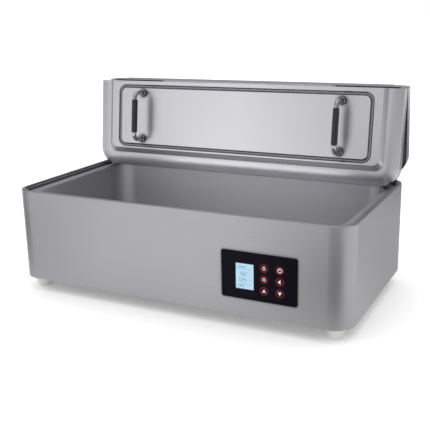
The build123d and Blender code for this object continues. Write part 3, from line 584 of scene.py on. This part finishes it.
# Hinges. Two leaves and a pin along the back of the housing, and two more under the fold of the
# lid, rolled from hard bright stainless strip.
hinge_steel = surface_finish(
    "hinge_steel",
    dark=(0.37, 0.385, 0.43),
    light=(0.45, 0.465, 0.51),
    rough=(0.22, 0.32),
    stretch=(30, 900, 900),
    depth=2e-6,
    Metallic=1.0,
)
coat_nodes(
    hinge_steel,
    "rear_hinge_base_leaf",
    "rear_hinge_lid_leaf",
    "rear_hinge_pin",
    "fold_hinge_rear_leaf",
    "fold_hinge_front_leaf",
    "fold_hinge_pin",
)

# Lid halves. Each is a pressed skin of satin stainless with its grain along the fold, closed from
# below by a flat liner. Painted shade darkens the steel in the pressed grooves, at the foot of the
# risers and round the handle ferrules.
lid_steel = surface_finish(
    "lid_steel",
    dark=(0.474, 0.470, 0.494),
    light=(0.514, 0.510, 0.536),
    rough=(0.30, 0.37),
    stretch=(3, 1100, 1100),
    depth=2e-6,
    round_axis="X",
    # painted shade in grooves, at riser feet and round the ferrules
    painted_shade=(0.008, 0.14),
    Metallic=1.0,
    Anisotropic=0.4,
)
coat_nodes(lid_steel, "lid_rear_skin", "lid_front_skin", "lid_rear_liner", "lid_front_liner")

# Handles. Chromed bars with a black sleeve over the grip, on round chromed ferrules, screwed from
# inside the lid. Painted shade darkens the chrome where other surfaces close in on it, as at the
# ferrules' feet.
chrome = surface_finish(
    "chrome",
    dark=(0.38, 0.375, 0.385),
    light=(0.46, 0.45, 0.455),
    rough=(0.03, 0.07),
    stretch=(200, 200, 200),
    depth=1e-6,
    clouds=40.0,
    # painted shade where the ferrules meet the lid
    painted_shade=(0.010, 0.25),
    Metallic=1.0,
)
grip_plastic = surface_finish(
    "grip_plastic",
    dark=(0.006, 0.006, 0.008),
    light=(0.013, 0.013, 0.017),
    rough=(0.34, 0.44),
    stretch=(1000, 1000, 1000),
    depth=1e-5,
)
coat_nodes(chrome, "handle_bar_left", "handle_bar_right", "handle_ferrules")
coat_nodes(grip_plastic, "handle_grip_left", "handle_grip_right")
coat_nodes(screw_zinc, "handle_screws")

# Studio. A white table, lit a little from below, in a tent of cloth that is bright before the pan
# and dim behind it but for its foot. A sky light comes from above, a softbox from the left and a
# small lamp into the pan, and five black gauze flags show only as dark reflections in the steel.
floor_reach = 30.0
floor_tone = (0.9, 0.9, 0.9)
floor_rough = 0.9
floor_glow = 0.18
floor_corners = np.array([(-1, -1, 0), (1, -1, 0), (1, 1, 0), (-1, 1, 0)]) * floor_reach
floor_mesh = bpy.data.meshes.new("table")
floor_mesh.from_pydata(floor_corners.tolist(), [], [(0, 1, 2, 3)])
floor = bpy.data.objects.new("table", floor_mesh)
bpy.context.scene.collection.objects.link(floor)
floor_paint = bpy.data.materials.new("table_paint")
floor_paint.use_nodes = True
floor_shader = floor_paint.node_tree.nodes["Principled BSDF"]
floor_shader.inputs["Base Color"].default_value = (*floor_tone, 1)
floor_shader.inputs["Roughness"].default_value = floor_rough
floor_shader.inputs["Specular IOR Level"].default_value = 0.0
floor_shader.inputs["Emission Color"].default_value = (1, 1, 1, 1)
floor_shader.inputs["Emission Strength"].default_value = floor_glow
floor_mesh.materials.append(floor_paint)

tent_front = (-0.454, -0.891, 0.0)
# Degrees from the tent's front, and how bright the cloth is there
tent_ring = ((0, 1.02), (14, 0.97), (28, 0.78), (54, 0.50), (85, 0.35), (115, 0.34), (150, 0.34))
# A climb, spread or fall is where a glow sets in and where it is full, by the direction's height
# or, for the spread, by how far it points to the back
tent_top = 1.0
tent_top_climb = (0.4, 0.95)
tent_back = (-0.45, 0.89, 0.0)
tent_back_spread = (0.80, 0.95)
tent_foot = 0.95
tent_foot_fall = (0.24, 0.08)
tent_seen = 1.0
world = bpy.data.worlds.new("studio")
bpy.context.scene.world = world
world.use_nodes = True
tent = world.node_tree
tent.nodes["Background"].inputs["Color"].default_value = (1, 1, 1, 1)
direction = tent.nodes.new("ShaderNodeTexCoord").outputs["Generated"]


def tent_along(axis):
    """How far a direction in the tent points along the axis, from -1 to 1: their dot product."""
    product = tent.nodes.new("ShaderNodeVectorMath")
    product.operation = "DOT_PRODUCT"
    product.inputs[1].default_value = axis
    tent.links.new(direction, product.inputs[0])
    return product.outputs["Value"]


def tent_rise(measure, limits):
    """A share that rises smoothly from 0 at the first limit of the measure to 1 at the second."""
    rise = tent.nodes.new("ShaderNodeMapRange")
    rise.interpolation_type = "SMOOTHSTEP"
    rise.inputs["From Min"].default_value = limits[0]
    rise.inputs["From Max"].default_value = limits[1]
    tent.links.new(measure, rise.inputs["Value"])
    return rise.outputs["Result"]


def tent_blend(share, glow, other):
    """The glow, with that share of the other glow, a number, in its place."""
    blend = tent.nodes.new("ShaderNodeMix")
    blend.inputs["B"].default_value = other
    tent.links.new(share, blend.inputs["Factor"])
    tent.links.new(glow, blend.inputs["A"])
    return blend.outputs["Result"]


halved = tent.nodes.new("ShaderNodeMapRange")
halved.inputs["From Min"].default_value = -1.0
around = tent.nodes.new("ShaderNodeValToRGB")
while len(around.color_ramp.elements) < len(tent_ring):
    around.color_ramp.elements.new(0.5)
for stop, (turn, glow) in zip(reversed(around.color_ramp.elements), tent_ring):
    stop.position = (1 + cos(turn * pi / 180)) / 2
    stop.color = (glow, glow, glow, 1)
tent.links.new(tent_along(tent_front), halved.inputs["Value"])
tent.links.new(halved.outputs["Result"], around.inputs["Fac"])
height = tent.nodes.new("ShaderNodeSeparateXYZ")
tent.links.new(direction, height.inputs["Vector"])
foot_share = tent.nodes.new("ShaderNodeMath")
foot_share.operation = "MULTIPLY"
tent.links.new(tent_rise(height.outputs["Z"], tent_foot_fall), foot_share.inputs[0])
tent.links.new(tent_rise(tent_along(tent_back), tent_back_spread), foot_share.inputs[1])
with_foot = tent_blend(foot_share.outputs["Value"], around.outputs["Color"], tent_foot)
with_top = tent_blend(tent_rise(height.outputs["Z"], tent_top_climb), with_foot, tent_top)
seen = tent.nodes.new("ShaderNodeLightPath").outputs["Is Camera Ray"]
as_seen = tent_blend(seen, with_top, tent_seen)
tent.links.new(as_seen, tent.nodes["Background"].inputs["Strength"])


def lamp(name, place, aim, width, height, power):
    """A rectangular lamp at a place, turned to face the aim."""
    data = bpy.data.lights.new(name, "AREA")
    data.shape = "RECTANGLE"
    data.size = width
    data.size_y = height
    data.energy = power
    light = bpy.data.objects.new(name, data)
    bpy.context.scene.collection.objects.link(light)
    light.location = place
    light.rotation_euler = (Vector(aim) - Vector(place)).to_track_quat("-Z", "Y").to_euler()
    return light


def flag(name, middle, across, along, density, edge):
    """A black gauze that reaches so far across and along from its middle, of one density inside
    and thinning out over the edge, a share of its reach. Only reflections show it."""
    cloth = bpy.data.materials.new(f"{name}_gauze")
    cloth.use_nodes = True
    gauze = cloth.node_tree
    black = gauze.nodes["Principled BSDF"]
    black.inputs["Base Color"].default_value = (0.02, 0.02, 0.02, 1)
    black.inputs["Roughness"].default_value = 1.0
    black.inputs["Specular IOR Level"].default_value = 0.0
    from_middle = gauze.nodes.new("ShaderNodeUVMap")
    from_middle.uv_map = "from_middle"
    inwards = gauze.nodes.new("ShaderNodeTexGradient")
    inwards.gradient_type = "SPHERICAL"
    weight = gauze.nodes.new("ShaderNodeMapRange")
    weight.interpolation_type = "SMOOTHSTEP"
    weight.inputs["From Max"].default_value = edge
    weight.inputs["To Max"].default_value = density
    open_air = gauze.nodes.new("ShaderNodeBsdfTransparent")
    woven = gauze.nodes.new("ShaderNodeMixShader")
    gauze.links.new(from_middle.outputs["UV"], inwards.inputs["Vector"])
    gauze.links.new(inwards.outputs["Fac"], weight.inputs["Value"])
    gauze.links.new(weight.outputs["Result"], woven.inputs["Fac"])
    gauze.links.new(open_air.outputs["BSDF"], woven.inputs[1])
    gauze.links.new(black.outputs["BSDF"], woven.inputs[2])
    gauze.links.new(woven.outputs["Shader"], gauze.nodes["Material Output"].inputs["Surface"])
    signs = np.array([(-1, -1), (1, -1), (1, 1), (-1, 1)])
    corners = np.array(middle) + signs[:, :1] * across + signs[:, 1:] * along
    mesh = bpy.data.meshes.new(name)
    mesh.from_pydata(corners.tolist(), [], [(0, 1, 2, 3)])
    mesh.uv_layers.new(name="from_middle").uv.foreach_set("vector", signs.astype("f").ravel())
    mesh.materials.append(cloth)
    card = bpy.data.objects.new(name, mesh)
    bpy.context.scene.collection.objects.link(card)
    card.visible_camera = False
    card.visible_diffuse = False
    card.visible_shadow = False


flag(
    "flag_front_right",
    middle=(0.37, -0.455, 0.003),
    across=(0.42, 0, 0),
    along=(0, 0.325, 0),
    density=0.93,
    edge=0.7,
)
flag(
    "flag_back_right",
    middle=(0.50, 0.92, 0.003),
    across=(0.30, -0.05, 0),
    along=(0.22, 1.0, 0),
    density=0.4,
    edge=0.35,
)
flag(
    "flag_far_right",
    middle=(0.80, 1.95, 0.004),
    across=(0.52, -0.05, 0),
    along=(0.30, 1.35, 0),
    density=0.85,
    edge=0.35,
)
flag(
    "flag_left",
    middle=(-0.88, -0.28, 0.003),
    across=(0.70, 0, 0),
    along=(0, 0.50, 0),
    density=0.8,
    edge=0.75,
)
flag(
    "flag_upright",
    middle=(0.30, -1.0, 0.30),
    across=(0.50, 0, 0),
    along=(0, 0, 0.30),
    density=0.35,
    edge=0.75,
)
overhead = bpy.data.lights.new("overhead", "SUN")
overhead.energy = 1.5
overhead.angle = 2.0
overhead_lamp = bpy.data.objects.new("overhead", overhead)
bpy.context.scene.collection.objects.link(overhead_lamp)
overhead_lamp.visible_glossy = False
lamp(
    "left_front",
    place=(-1.48, -2.9, 0.55),
    aim=(0, 0, 0.25),
    width=0.7,
    height=0.9,
    power=2.4,
)
fill = lamp(
    "fill_low",
    place=(-0.10, -0.125, 0.160),
    aim=(-0.10, 0.15, 0.19),
    width=0.5,
    height=0.03,
    power=0.17,
)
fill.visible_camera = False

# Camera. A long lens stands before the right side of the pan, a little above it, looks slightly
# down and leans a little to one side.
camera_place = (0.5836, -1.1229, 0.4837)
camera_yaw = -0.4740
camera_pitch = 0.2748
camera_roll = -0.0221
camera_lens = 61.757
camera_film = 36.0
level_reach = cos(camera_pitch)
ahead = Vector((sin(camera_yaw) * level_reach, cos(camera_yaw) * level_reach, -sin(camera_pitch)))
level_right = Vector((cos(camera_yaw), -sin(camera_yaw), 0))
level_up = level_right.cross(ahead)
right = level_right * cos(camera_roll) + level_up * sin(camera_roll)
up = level_up * cos(camera_roll) - level_right * sin(camera_roll)
camera_data = bpy.data.cameras.new("camera")
camera_data.lens = camera_lens
camera_data.sensor_width = camera_film
camera = bpy.data.objects.new("camera", camera_data)
bpy.context.scene.collection.objects.link(camera)
camera.matrix_world = Matrix((right, up, -ahead)).transposed().to_4x4()
camera.location = camera_place
bpy.context.scene.camera = camera
bpy.context.scene.view_settings.view_transform = "Standard"
